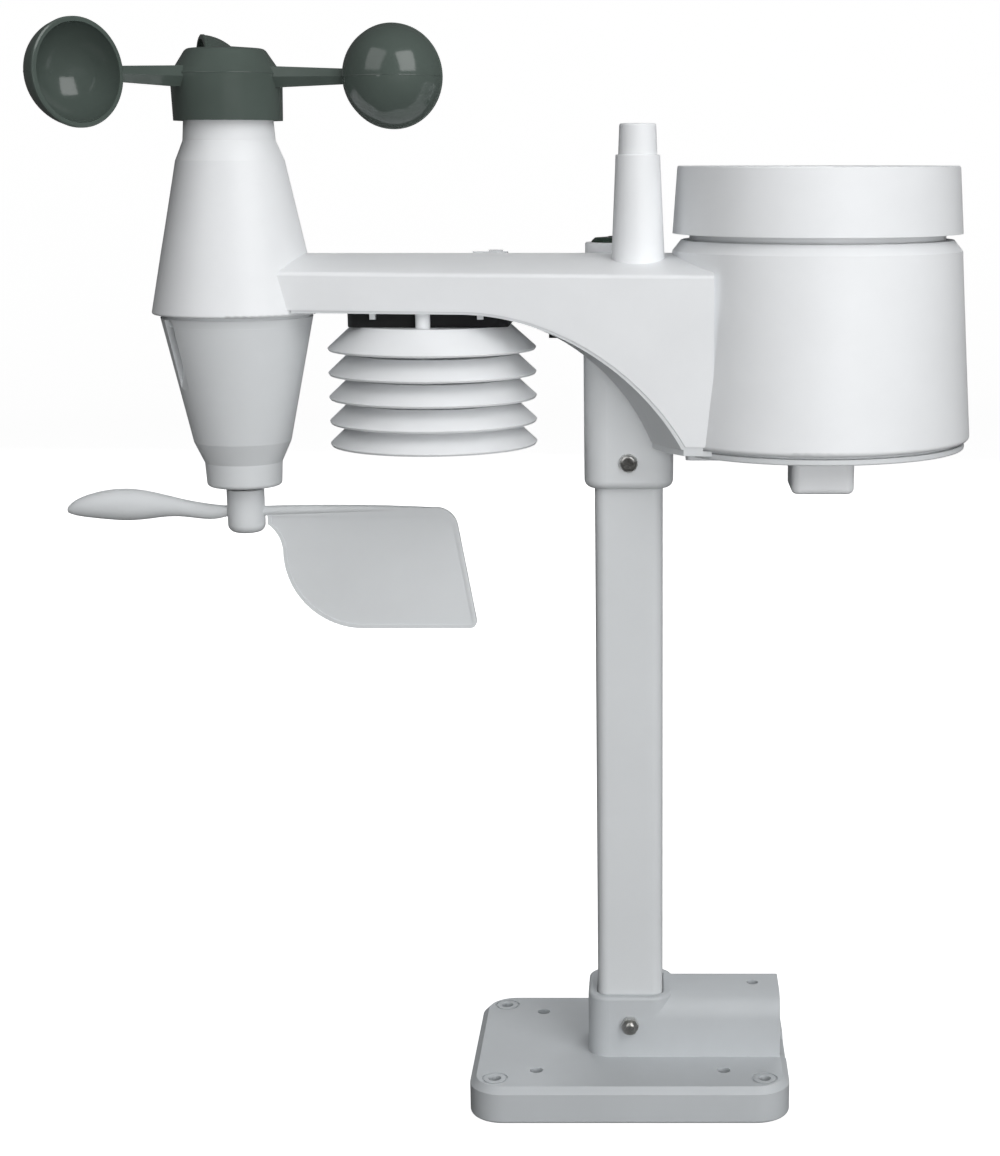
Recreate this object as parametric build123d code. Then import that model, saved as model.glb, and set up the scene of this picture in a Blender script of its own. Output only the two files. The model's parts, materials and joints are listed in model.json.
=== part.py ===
from build123d import *
import os
from math import atan2, cos, degrees, hypot, pi, radians, sin, sqrt

os.makedirs("parts", exist_ok=True)

# A five-in-one weather sensor array on a square mast and base plate.
# Millimetres. +X runs along the arm towards the rain gauge, +Y to the rear, +Z up.
# The origin is the mast's axis at the underside of the base plate.

# ---- Driving dimensions ----
wall = 2.0                    # general moulded wall
gap = 0.3                     # clearance between pieces that move apart

plate_x, plate_y = 119.5, 89.4
plate_top = 14.0
plate_corner = 13.0
plate_edge = 2.4
plate_foot_round = 1.2
corner_hole_x, corner_hole_y, corner_hole_r = 50.3, 35.0, 2.4
inner_hole_x, inner_hole_y, inner_hole_r = 35.2, 28.0, 2.5

mast_side = 24.6
mast_corner = 4.0
mast_wall = 1.8
mast_foot, mast_head = 3.0, 272.0
socket_side = 32.0
socket_corner = 8.0
socket_bore = mast_side + 0.7
socket_top = 38.0
lying_socket_end = 57.0
lying_screw_x = 47.0

clamp_low_z, clamp_high_z = 27.2, 241.7
clamp_r, clamp_head_r, clamp_nut_flats = 1.75, 3.35, 6.0

arm_x0, arm_x1 = -140.0, 29.4
arm_half_0, arm_half_1 = 17.6, 39.0
arm_edge_z, arm_ridge_z = 308.5, 314.5
arch_r, arch_flat_r, arm_under_z = 72.0, 128.0, 294.8
arch_foot_z = 249.3
skin_lip, skin = 1.0, 3.0     # lower shell: visible lip, and lip with its inner tongue
collar_foot_z = 232.0

wind_x = -140.0               # common axis of the cup rotor and the wind vane
shaft_r, bearing_r, shaft_play = 1.5, 4.0, 0.05
neck_top_z = 364.0
cone_lip_z = 293.5
vane_shell_top_z = 292.4
vane_neck_z = 231.5
channel_angles = (-142.6, 37.4)
channel_r = 22.0

cup_r, cup_wall, cup_arm_r, cup_z = 17.5, 1.4, 60.5, 374.6
cup_angles = (-10.3, 109.7, 229.7)
hub_foot_z, hub_top_z = 360.0, 385.2

gauge_x = 67.0
gauge_top_r, gauge_shoulder_r, gauge_foot_r = 48.3, 51.4, 55.9
gauge_top_z, gauge_shoulder_z, gauge_foot_z = 319.3, 315.5, 249.0
gauge_wall = 2.2
floor_z0, floor_z1, floor_r = 246.0, 248.0, 54.0
ring_top_z, ring_foot_z = 344.7, 321.5
drain_x, drain_half_x, drain_y0, drain_y1 = 67.5, 10.9, 15.0, 40.0
drain_feet = {-1: 234.0, 1: 242.6}    # a spout box in front, a flush outlet at the rear

well_x0, well_x1, well_y, well_foot_z, well_top_z = 20.2, 54.0, 28.6, 244.4, 283.0
well_inner_x = 25.0
cell_r, cell_length = 7.25, 50.5
door_screw_x = 24.2
cell_places = ((34.0, 255.0), (45.1, 264.6), (34.0, 274.2))

pivot_z = 266.0
bucket_tilt = 15.0
bucket_half_x, bucket_half_y = 9.0, 30.0

shield_x = -70.5
shield_tips = (281.0, 272.3, 263.7, 255.1, 247.1)
shield_r, shield_root_r = 37.3, 30.2
shield_crown_z, shield_crown_r = 289.6, 28.3
shield_posts = ((-71.5, -20.5), (-46.0, 0.0), (-71.5, 20.5), (-95.0, 0.0))
shield_post_top = 298.6
collar_half_x, collar_half_y, collar_corner = 28.3, 17.2, 5.0

antenna_x, antenna_y = 3.5, -15.0
level_x, level_y, level_top_z = -4.0, 18.0, 317.7


# ---- Helpers ----
def outline(points, rounds=None):
    """Closed flat face in XY through the points, with some corners rounded."""
    face = make_face(Polyline(*points, close=True))
    for index, radius in (rounds or {}).items():
        target = Vector(*points[index])
        corner = min(face.vertices(), key=lambda v: (Vector(v.X, v.Y, v.Z) - target).length)
        face = fillet(corner, radius)
    return face


def turned(points, x=0.0, y=0.0, rounds=None):
    """Solid of revolution about a vertical axis; the points are (radius, height)."""
    return Pos(x, y, 0) * revolve(Plane.XZ * outline(points, rounds), Axis.Z)


def rod(x, y, z0, z1, r):
    """Upright cylinder."""
    return Pos(x, y, z0) * extrude(Circle(r), z1 - z0)


def rod_y(x, z, y0, y1, r):
    """Cylinder along Y."""
    return Plane((x, y0, z), x_dir=(1, 0, 0), z_dir=(0, 1, 0)) * extrude(Circle(r), y1 - y0)


def rod_x(y, z, x0, x1, r):
    """Cylinder along X."""
    return Plane((x0, y, z), x_dir=(0, 1, 0), z_dir=(1, 0, 0)) * extrude(Circle(r), x1 - x0)


def tube(x, y, z0, z1, outer, inner):
    return Pos(x, y, z0) * extrude(Circle(outer) - Circle(inner), z1 - z0)


def block(x0, x1, y0, y1, z0, z1, r=0.0):
    """Box between six faces, with rounded upright edges if r is given."""
    plan = RectangleRounded(x1 - x0, y1 - y0, r) if r else Rectangle(x1 - x0, y1 - y0)
    return Pos((x0 + x1) / 2, (y0 + y1) / 2, z0) * extrude(plan, z1 - z0)


def square_bar(side, corner, z0, z1):
    return Pos(0, 0, z0) * extrude(RectangleRounded(side, side, corner), z1 - z0)


def turn(angle, x, y, shape):
    """The shape turned about the upright axis through (x, y)."""
    return Pos(x, y, 0) * Rot(0, 0, angle) * Pos(-x, -y, 0) * shape


def polar(x, y, r, angle):
    return x + r * cos(radians(angle)), y + r * sin(radians(angle))


def one(shape):
    """The largest solid of a shape, without loose slivers."""
    return max(shape.solids(), key=lambda s: s.volume)


# ---- Base plate and mast ----
def make_base_plate():
    plate = block(-plate_x / 2, plate_x / 2, -plate_y / 2, plate_y / 2, 0, plate_top, plate_corner)
    plate = chamfer(plate.edges().group_by(Axis.Z)[-1], plate_edge)
    plate = fillet(plate.edges().group_by(Axis.Z)[0], plate_foot_round)
    hollow = block(-plate_x / 2 + 3.5, plate_x / 2 - 3.5, -plate_y / 2 + 3.5, plate_y / 2 - 3.5,
                   0, plate_top - 3, plate_corner - 3.5)
    ribs = [block(-plate_x / 2, plate_x / 2, y - 1, y + 1, 0, plate_top) for y in (-28, 28)]
    ribs += [block(x - 1, x + 1, -plate_y / 2, plate_y / 2, 0, plate_top) for x in (-35.2, 0, 35.2)]
    holes = [(sx * corner_hole_x, sy * corner_hole_y, corner_hole_r) for sx in (-1, 1) for sy in (-1, 1)]
    holes += [(sx * inner_hole_x, sy * inner_hole_y, inner_hole_r) for sx in (-1, 1) for sy in (-1, 1)]
    bosses = [rod(x, y, 0, plate_top, r + 3) for x, y, r in holes]
    core = block(-19, lying_socket_end, -17, 17, 0, plate_top)
    for keep in ribs + bosses + [core]:
        hollow -= keep
    plate -= hollow
    # The lying socket is a block with a broad round along its upper edges.
    half = socket_side / 2
    section = outline([(-half, 8), (half, 8), (half, socket_top), (-half, socket_top)], {2: 9, 3: 9})
    lying = Plane((0, 0, 0), x_dir=(0, 1, 0), z_dir=(1, 0, 0)) * extrude(section, lying_socket_end)
    upright = square_bar(socket_side, socket_corner, 8, socket_top)
    upright = fillet(upright.edges().group_by(Axis.Z)[-1], 1.2)
    body = plate + lying + upright
    body -= square_bar(socket_bore, mast_corner, mast_foot, socket_top + 1)
    bore = RectangleRounded(socket_bore, socket_bore, mast_corner)
    centre = Plane((half, 0, socket_top - 3 - socket_bore / 2), x_dir=(0, 1, 0), z_dir=(1, 0, 0))
    body -= centre * extrude(bore, plate_x)
    body -= rod(lying_screw_x, 0, -1, socket_top + 1, 2.2)
    for x, y, r in holes:
        body -= rod(x, y, -1, plate_top + 1, r)
    for sx in (-1, 1):
        for sy in (-1, 1):
            body -= tube(sx * corner_hole_x, sy * corner_hole_y, plate_top - 0.5, plate_top + 1, 4.9, 4.1)
    body -= rod_y(0, clamp_low_z, -half - 1, half + 1, clamp_r + 0.15)
    return one(body)


def make_mast():
    plan = RectangleRounded(mast_side, mast_side, mast_corner)
    bore_side = mast_side - 2 * mast_wall
    plan -= RectangleRounded(bore_side, bore_side, mast_corner - mast_wall)
    mast = Pos(0, 0, mast_foot) * extrude(plan, mast_head - mast_foot)
    for z in (clamp_low_z, clamp_high_z):
        mast -= rod_y(0, z, -mast_side, mast_side, clamp_r + 0.15)
    return mast


def pan_screw(head_r, head_height, r, length):
    """Cross-recessed pan-head screw; the head sits on z = 0 and the shank runs down."""
    head = turned([(0, 0), (head_r, 0), (head_r, head_height), (0, head_height)],
                  rounds={2: head_height * 0.7})
    screw = head + rod(0, 0, -length, 0, r)
    for a in (0, 90):
        slot = Pos(0, 0, head_height - 0.5) * Box(head_r * 1.1, head_r * 0.26, 1.8)
        screw -= Rot(0, 0, a) * slot
    return screw


def make_clamp_screws():
    """Upper screw with its head to the front, lower one with its head to the rear."""
    half = socket_side / 2
    screw = pan_screw(clamp_head_r, 2.3, clamp_r, socket_side + 5.5)
    upper = Pos(0, -half, clamp_high_z) * Rot(90, 0, 0) * screw
    lower = Pos(0, half, clamp_low_z) * Rot(-90, 0, 0) * screw
    return Compound(children=[upper, lower])


def make_clamp_nuts():
    half = socket_side / 2
    nut = extrude(RegularPolygon(clamp_nut_flats / 2, 6, major_radius=False) - Circle(clamp_r + 0.02), 2.8)
    nut &= turned([(0, 0), (3.1, 0), (3.6, 0.6), (3.6, 2.2), (3.1, 2.8), (0, 2.8)])
    upper = Pos(0, half, clamp_high_z) * Rot(-90, 0, 0) * nut
    lower = Pos(0, -half, clamp_low_z) * Rot(90, 0, 0) * nut
    return Compound(children=[upper, lower])


# ---- Arm ----
def arm_section(x, inset):
    """Upright section of the arm at x, with its crowned top, moved in by inset."""
    part = (x - arm_x0) / (arm_x1 - arm_x0)
    half = arm_half_0 + (arm_half_1 - arm_half_0) * part - inset
    edge, ridge, low = arm_edge_z - inset, arm_ridge_z - inset, 240.0
    crown = ThreePointArc((half, edge), (0, ridge), (-half, edge))
    sides = Polyline((-half, edge), (-half, low), (half, low), (half, edge))
    return Plane((x, 0, 0), x_dir=(0, 1, 0), z_dir=(1, 0, 0)) * make_face([crown, sides])


def arm_solid(inset=0.0, end_inset=0.0, edge_round=0.0):
    body = loft([arm_section(arm_x0, inset), arm_section(arm_x1 - end_inset, inset)])
    if edge_round:
        long_edges = [e for e in body.edges() if abs(e.center().Z - arm_edge_z) < 0.5 and e.length > 100]
        body = fillet(long_edges, edge_round)
    return body


def arch_void(grow=0.0):
    """Everything below the arch: a round-about solid centred on the rain gauge."""
    r, flat, foot = arch_r + grow, arm_under_z + grow, arch_foot_z + grow
    centre_z = arm_under_z - arch_r
    foot_r = arch_flat_r - sqrt(r ** 2 - (foot - centre_z) ** 2)
    middle = radians(90 + degrees(atan2(arch_flat_r - foot_r, foot - centre_z)) / 2)
    top = (arch_flat_r, flat)
    mid = (arch_flat_r + r * cos(middle), centre_z + r * sin(middle))
    arc = ThreePointArc(top, mid, (foot_r, foot))
    rest = Polyline((foot_r, foot), (0, foot), (0, 180), (260, 180), (260, flat), top)
    return Pos(gauge_x, 0, 0) * revolve(Plane.XZ * make_face([arc, rest]), Axis.Z)


def gauge_radius(z, inset=0.0):
    """Outer radius of the gauge wall at height z, less an inset."""
    slope = (gauge_foot_r - gauge_shoulder_r) / (gauge_shoulder_z - gauge_foot_z)
    return gauge_foot_r - (z - gauge_foot_z) * slope - inset


def gauge_solid(inset=0.0, z0=gauge_foot_z, rounded=False):
    top_inset = inset * 1.05
    points = [(0, z0), (gauge_radius(z0, inset), z0), (gauge_shoulder_r - inset, gauge_shoulder_z),
              (gauge_top_r - top_inset, gauge_top_z), (0, gauge_top_z)]
    return turned(points, gauge_x, rounds={1: 1.6, 3: 0.5} if rounded else None)


def cone_solid(inset=0.0, z0=cone_lip_z, z1=neck_top_z):
    points = [(0, z0), (29.9 - inset, z0), (25.4 - inset, 315.5), (19.0 - inset, 346.4),
              (16.1 - inset, 353.3), (15.3 - inset, z1), (0, z1)]
    return turned(points, wind_x, rounds={1: 0.8} if not inset else None)


def make_upper_housing():
    """Upper anemometer cone, arm top and sides, and rain gauge wall, in one moulding."""
    arm = arm_solid(edge_round=1.6) - arch_void(skin_lip)
    cavity = arm_solid(wall, wall) - gauge_solid()
    body = (arm - cavity) + cone_solid() + gauge_solid(rounded=True)
    body -= cone_solid(wall, cone_lip_z - 0.5, neck_top_z - 2.5)
    body -= gauge_solid(gauge_wall, gauge_foot_z - 0.5)
    # The arm opens into the cone through a window for the wiring.
    body -= block(-122, -108, -9, 9, 297, 306)
    # The mast socket of the lower housing stands in the gauge wall.
    room = socket_side + 2 * gap
    body -= square_bar(room, socket_corner, 240, mast_head + 3 + gap)
    # Bearing tube of the rotor shaft.
    body += rod(wind_x, 0, 328, neck_top_z - 1, 6.0)
    body -= rod(wind_x, 0, 320, neck_top_z + 1, bearing_r + 0.02)
    # Screw posts that the lower cone is fixed to.
    for angle in channel_angles:
        x, y = polar(wind_x, 0, channel_r, angle)
        body += tube(x, y, cone_lip_z, 305, 2.6, 1.2)
    # Antenna tower.
    tower = turned([(0, 300), (9.9, 300), (7.7, 348.5), (0, 348.5)], antenna_x, antenna_y, {2: 0.5})
    body += tower - arm_solid(wall)
    body -= turned([(0, 290), (6.4, 290), (5.95, 351), (0, 351)], antenna_x, antenna_y)
    # Seat of the bubble level.
    seat = rod(level_x, level_y, 306, level_top_z, 12.0)
    seat = fillet(seat.edges().group_by(Axis.Z)[-1], 0.6)
    body += seat - arm_solid(wall)
    body -= rod(level_x, level_y, 312.6, level_top_z + 1, 10.0)
    # Window of the indicator light.
    body -= block(-50.4, -45.0, 5.4, 10.6, 306, 320)
    # Notches that let the collector's lugs pass.
    for angle in (60, 180, 300):
        lug = block(gauge_x + 44, gauge_x + 48.2, -5, 5, 312, 321)
        body -= turn(angle, gauge_x, 0, lug & rod(gauge_x, 0, 300, 330, 47.6))
    return one(body)


def make_lower_housing():
    """Arm floor, arch, mast collar, rain gauge floor and battery well, in one moulding."""
    cone_room = rod(wind_x, 0, 200, 400, 30.2)
    lip = (arm_solid(0.3, 0.3) & arch_void(skin_lip)) - arch_void(0)
    tongue = (arm_solid(wall + 0.15, wall + 0.15) & arch_void(skin)) - arch_void(skin_lip)
    body = (lip + tongue) - cone_room
    body -= gauge_solid(-0.2, floor_z1)
    # Flange that carries the arch on into the gauge floor, under the gauge wall.
    flange = arm_solid(0.3, 0.3) & tube(gauge_x, 0, 247.2, arch_foot_z + 0.2, 60.6, 50.0)
    body += flange - gauge_solid(-0.2, gauge_foot_z - 0.1)
    # Gauge floor with a spigot inside the gauge wall.
    floor = turned([(0, floor_z0), (floor_r, floor_z0), (floor_r, floor_z1), (52.4, floor_z1 + 0.2),
                    (52.4, 256), (50.6, 256), (50.6, floor_z1), (0, floor_z1)], gauge_x, rounds={1: 0.6})
    body += floor
    # Mast collar, its top closed over the mast.
    half = socket_side / 2
    collar = square_bar(socket_side, socket_corner, collar_foot_z, 291)
    collar = fillet(collar.edges().group_by(Axis.Z)[0], 3.0)
    roof = arch_void(skin) + block(-half, half, -half, half, 232, mast_head + 3)
    body += collar & roof
    body -= square_bar(socket_bore, mast_corner, collar_foot_z - 1, mast_head)
    body -= rod_y(0, clamp_high_z, -half - 1, half + 1, clamp_r + 0.15)
    # Battery well, open below.
    well = block(well_inner_x, well_x1, -well_y, well_y, well_foot_z, well_top_z, 2)
    well += block(well_x0, well_x1, -well_y, well_y, well_foot_z, floor_z1 + 0.9, 2)
    body += well
    body -= block(well_inner_x + 1.5, well_x1 - 1.5, 1.5 - well_y, well_y - 1.5, 240, well_top_z - 1.5, 1)
    body -= block(well_x0 + 1.5, well_x1 - 1.5, 1.5 - well_y, well_y - 1.5, 240, 247.6, 1.5)
    body += rod(door_screw_x, 0, 246.6, 256, 2.2)
    body -= rod(door_screw_x, 0, 240, 254.6, 1.1)
    # Drain openings.
    for side in (-1, 1):
        body -= block(drain_x - 8, drain_x + 8, side * 27.5 - 8.5, side * 27.5 + 8.5, 240, 249)
    # Room for the reset button and the shield's screws.
    body -= block(-28.9, -22.9, -3.4, 3.4, 280, 300)
    for x, y in shield_posts:
        body += rod(x, y, arm_under_z, shield_post_top, 3.2)
        body -= rod(x, y, arm_under_z - 3, shield_post_top - 0.5, 1.3)
    body -= rod(shield_x, 0, 290, 300, 6)
    # Short locating tabs in front of and behind the shield's black collar.
    for x in (-89.0, -51.5):
        for y in (-19.5, 19.5):
            body += block(x - 1.05, x + 1.05, y - 1, y + 1, arm_under_z - 2.2, arm_under_z + 0.5)
    # Posts of the main board.
    for x in (-41, 2):
        for y in (-15, 15):
            body += rod(x, y, 290 if x > -30 else 296, 299, 2.5) - arch_void(1.5)
    return one(body)


# ---- Wind speed ----
def hub_outside():
    """The hub as a full solid, which the cups' arms end on."""
    points = [(0, hub_foot_z), (18.9, hub_foot_z), (19.35, 375.8), (18.7, 376.6), (13.6, 384.2), (0, hub_top_z)]
    return turned(points, rounds={4: 2.5, 3: 3.0})


def make_rotor_hub():
    points = [(0, 365.8), (4.5, 365.8), (4.5, 380.6), (11.8, 380.6), (16.4, 373.0), (17.0, hub_foot_z),
              (18.9, hub_foot_z), (19.35, 375.8), (18.7, 376.6), (13.6, 384.2), (0, hub_top_z)]
    hub = turned(points, wind_x, rounds={9: 2.5, 8: 3.0})
    hub -= rod(wind_x, 0, 360, 378.5, shaft_r + 0.02)
    grub = Plane((wind_x, 25, 369.5), x_dir=(1, 0, 0), z_dir=(0, -1, 0)) * extrude(Circle(1.3), 23.4)
    return hub - grub


def make_wind_cup(angle):
    """One cup with its arm; the opening faces along the rotor's turning direction."""
    inner = cup_r - cup_wall
    lip_r, lip_z = cup_r + 0.15, -1.6
    outer_end = (sqrt(cup_r ** 2 - lip_z ** 2), lip_z)
    outer = ThreePointArc((0, -cup_r), (cup_r * sin(pi / 4), -cup_r * cos(pi / 4)), outer_end)
    inside = ThreePointArc((inner, 0), (inner * sin(pi / 4), -inner * cos(pi / 4)), (0, -inner))
    rim = Polyline(outer_end, (lip_r, lip_z + 0.3), (lip_r, -0.3), (lip_r - 0.5, 0), (inner, 0))
    shell = revolve(Plane.XZ * make_face([outer, rim, inside, Line((0, -inner), (0, -cup_r))]), Axis.Z)
    seat = Plane((cup_arm_r, 0, cup_z), x_dir=(1, 0, 0), z_dir=(0, 1, 0))
    arm = loft([arm_hexagon(14.5, 7.4, 6.4), arm_hexagon(cup_arm_r - cup_r + 0.6, 5.2, 4.6)])
    cup = seat * shell + (arm - hub_outside() - seat * Sphere(inner + 0.4))
    cup = Pos(wind_x, 0, 0) * Rot(0, 0, angle) * cup
    return one(cup)


def arm_hexagon(x, height, width):
    """Flattened six-sided section of a cup arm."""
    plane = Plane((x, -2.0, cup_z), x_dir=(0, 1, 0), z_dir=(1, 0, 0))
    h, w = height / 2, width / 2
    return plane * outline([(-w, 0), (-w / 3, h), (w / 3, h), (w, 0), (w / 3, -h), (-w / 3, -h)])


def flanged_bearing(z, up):
    """Sleeve with its flange on the face at z; the sleeve runs up or down from it."""
    side = 1 if up else -1
    low, high = sorted((z, z + side * 8))
    flange_low, flange_high = sorted((z, z - side * 0.8))
    sleeve = rod(wind_x, 0, low, high, bearing_r) + rod(wind_x, 0, flange_low, flange_high, 5.4)
    return sleeve - rod(wind_x, 0, low - 2, high + 2, shaft_r + shaft_play)


def make_magnet_carrier(z, magnet_places):
    carrier = rod(wind_x, 0, z, z + 5, 9) - rod(wind_x, 0, z - 1, z + 6, shaft_r + 0.02)
    for x, y in magnet_places:
        carrier -= rod(wind_x + x, y, z - 1, z + 2.5, 2.02)
    return carrier


def make_magnets(z, magnet_places):
    return [rod(wind_x + x, y, z, z + 2.5, 2.0) for x, y in magnet_places]


def make_sensor_board(z, r):
    board = rod(wind_x, 0, z, z + 1.6, r)
    for angle in (0, 120, 240):
        x, y = polar(wind_x, 0, r - 2.6, angle)
        board -= rod(x, y, z - 1, z + 3, 1.2)
    return board


def glass_switch(x, y, z, along_x):
    """Reed switch: a glass capsule with a wire at each end."""
    if along_x:
        return rod_x(y, z, x - 6, x + 6, 1.1) + rod_x(y, z, x - 9, x + 9, 0.3)
    return rod_y(x, z, y - 6, y + 6, 1.1) + rod_y(x, z, y - 9, y + 9, 0.3)


# ---- Wind direction ----
def make_vane_housing():
    """Lower cone with its bearing tube and three deep screw channels."""
    shape = turned([(0, vane_neck_z), (13.4, vane_neck_z), (13.9, 240.2), (17.4, 247.8),
                    (26.9, vane_shell_top_z), (0, vane_shell_top_z)], wind_x, rounds={1: 1.5})
    hollow = turned([(0, 240), (11.7, 241), (15.3, 248.3), (24.6, vane_shell_top_z - 2.4),
                     (24.6, 300), (0, 300)], wind_x)
    body = shape - hollow
    body += tube(wind_x, 0, vane_shell_top_z - 3, 297, 26.3, 24.8)
    body += rod(wind_x, 0, vane_neck_z, 258, 6.0)
    for angle in channel_angles:
        pad = block(wind_x + 17.6, wind_x + 26.9, -4.6, 4.6, 262, vane_shell_top_z)
        body += turn(angle, wind_x, 0, pad & shape)
        profile = outline([(19.5, vane_shell_top_z - 0.4), (19.5, 284), (21.7, 266), (40, 266),
                           (40, vane_shell_top_z - 0.4)])
        channel = Pos(wind_x, 0, 0) * extrude(Plane.XZ * profile, 2.9, both=True)
        body -= turn(angle, wind_x, 0, channel)
        x, y = polar(wind_x, 0, channel_r, angle)
        body += turn(angle, wind_x, 0, block(wind_x + 19, wind_x + 24.7, -3, 3, 289.4, vane_shell_top_z))
        body -= rod(x, y, 288, 300, 1.3)
    body -= rod(wind_x, 0, 225, 262, bearing_r + 0.02)
    return one(body)


def make_vane_screws():
    screw = pan_screw(2.1, 1.6, 1.1, 12)
    places = [polar(wind_x, 0, channel_r, a) for a in channel_angles]
    return Compound(children=[Pos(x, y, 289.4) * Rot(180, 0, 0) * screw for x, y in places])


def fin_face(inset):
    """Outline of the fin below its spar, moved in by inset all round."""
    foot, middle_x, middle_z, r = 178.2 + inset, -98.5, 206.7, 28.5 - inset
    left, top = middle_x - r, 220.0 if inset else 223.4
    round_in = ThreePointArc((middle_x, foot), (middle_x - r * sin(pi / 4), middle_z - r * cos(pi / 4)),
                             (left, middle_z))
    flare = ThreePointArc((left, middle_z), (left - 1.5, 212.9), (left - 5.2, 217.2))
    corners = [(-56.0 - 0.175 * (z - 178.2) - 1.015 * inset, z) for z in (top, foot)]
    edge = Polyline((left - 5.2, 217.2), (left - 5.2, min(top, 221.8)), *corners, (middle_x, foot))
    face = make_face([round_in, flare, edge])
    for (x, z), radius in ((corners[1], 2.5 - inset), (corners[0], 5.0 if inset else 8.0)):
        corner = min(face.vertices(), key=lambda v: hypot(v.X - x, v.Y - z))
        face = fillet(corner, radius)
    return face


def make_wind_vane():
    """Nose weight, rod, hub and fin, in one moulding in the plane Y = 0."""
    hub = turned([(0, 214.3), (6.8, 214.3), (6.8, 230.2), (0, 230.2)], wind_x, rounds={1: 3.0, 2: 0.4})
    sections = ((-205.2, 222.3, 0.7, 0.9), (-202.6, 223.0, 2.2, 2.6), (-197.8, 223.7, 3.5, 4.1),
                (-191.0, 224.2, 4.3, 5.3), (-184.2, 224.3, 4.5, 5.8), (-173.7, 224.1, 3.8, 4.8),
                (-160.0, 222.6, 2.5, 3.1), (-147.5, 221.9, 1.7, 2.1), (-141.0, 221.8, 1.7, 2.1))
    nose = loft([Plane((x, 0, z), x_dir=(0, 1, 0), z_dir=(1, 0, 0)) * Ellipse(w, h)
                 for x, z, w, h in sections])
    rear = (wind_x, 221.8, 1.9, 1.8), (-100.0, 222.7, 1.6, 1.5), (-72.0, 222.7, 0.9, 0.7)
    spar = loft([Plane((x, 0, z), x_dir=(0, 1, 0), z_dir=(1, 0, 0)) * Ellipse(w, h)
                 for x, z, w, h in rear])
    pocket = extrude(fin_face(1.3), 1.0)
    fin = extrude(fin_face(0.0), 1.2, both=True) - Pos(0, 0, 0.8) * pocket - Pos(0, 0, -1.8) * pocket
    body = hub + nose + Plane.XZ * fin + spar
    body -= rod(wind_x, 0, 218.5, 232, shaft_r + 0.02)
    body -= rod_y(wind_x, 225.5, 1.0, 7.5, 1.3)
    return one(body)


# ---- Rain gauge ----
def make_rain_collector():
    """Catch ring with its funnel, spout and locking lugs."""
    points = [(49.7, ring_top_z), (51.4, ring_foot_z), (49.3, ring_foot_z), (48.7, 326.5), (45.4, 326.5),
              (45.4, 306), (43.6, 306), (43.6, 325.2), (5.2, 302.2), (4.6, 301.0), (4.6, 294.6),
              (3.0, 294.6), (3.0, 303.0), (4.4, 304.6), (46.2, 330.6), (46.8, 332), (47.6, ring_top_z)]
    body = turned(points, gauge_x, rounds={0: 0.7, 16: 0.7})
    for angle in (60, 180, 300):
        lug = block(gauge_x + 44.2, gauge_x + 47.1, -4, 4, 312.5, 314.5)
        body += turn(angle, gauge_x, 0, lug & rod(gauge_x, 0, 300, 330, 47.1))
    return one(body)


def make_leaf_screen():
    """Domed grille that rests in the funnel over its outlet."""
    dome = turned([(0, 312.5), (6.2, 311.3), (9.5, 307.95), (10.6, 308.6), (7.0, 312.9), (0, 314.0)], gauge_x)
    for angle in range(0, 180, 30):
        slot = block(gauge_x + 3.8, gauge_x + 8.8, -0.7, 0.7, 300, 320)
        dome -= turn(angle, gauge_x, 0, slot) + turn(angle + 180, gauge_x, 0, slot)
    return dome


def tilt_bucket(shape):
    """The shape as the bucket stands at rest, down on its front stop."""
    return Pos(gauge_x, 0, pivot_z) * Rot(bucket_tilt, 0, 0) * shape


def side_prism(points, half_x):
    """Prism across X from (y, z) points measured from the pivot."""
    return Plane((0, 0, 0), x_dir=(0, 1, 0), z_dir=(1, 0, 0)) * extrude(outline(points), half_x, both=True)


def make_tipping_bucket():
    end = bucket_half_y
    body = side_prism([(-end, 17), (0, 3.5), (end, 17), (0, 26)], bucket_half_x)
    for side in (-1, 1):
        pocket = [(side * 0.7, 5.2), (side * (end + 1), 18.9), (side * (end + 1), 30), (side * 0.7, 30)]
        body -= side_prism(pocket, bucket_half_x - 1.2)
    hub = Plane((0, 0, 0), x_dir=(0, 1, 0), z_dir=(1, 0, 0)) * extrude(Circle(2.8), bucket_half_x, both=True)
    neck = side_prism([(-2, 0), (2, 0), (2.4, 4.5), (-2.4, 4.5)], bucket_half_x)
    body += (hub + neck)
    body -= Plane((0, 0, 0), x_dir=(0, 1, 0), z_dir=(1, 0, 0)) * extrude(Circle(1.02), 20, both=True)
    return one(tilt_bucket(body))


def make_bucket_cradle():
    """Frame on the gauge floor with two bearing plates and two stops."""
    base = block(gauge_x - 13, gauge_x + 13, -38, 38, floor_z1, floor_z1 + 2, 2)
    for side in (-1, 1):
        base -= block(drain_x - 8, drain_x + 8, side * 27.5 - 8.5, side * 27.5 + 8.5, 240, 260)
    ear = outline([(-14, floor_z1), (14, floor_z1), (5, 270), (-5, 270)], {2: 4, 3: 4})
    for x in (gauge_x - 13, gauge_x + 11):
        base += Plane((x, 0, 0), x_dir=(0, 1, 0), z_dir=(1, 0, 0)) * extrude(ear, 2)
    for side in (-1, 1):
        bar = block(gauge_x - 13, gauge_x + 13, side * 17.2 - 1.5, side * 17.2 + 1.5, floor_z1, 252)
        base += bar + rod(gauge_x, side * 17.2, floor_z1, 271.2, 1.5)
    base -= rod_x(0, pivot_z, gauge_x - 20, gauge_x + 20, 1.0 + shaft_play)
    return one(base)


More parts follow.
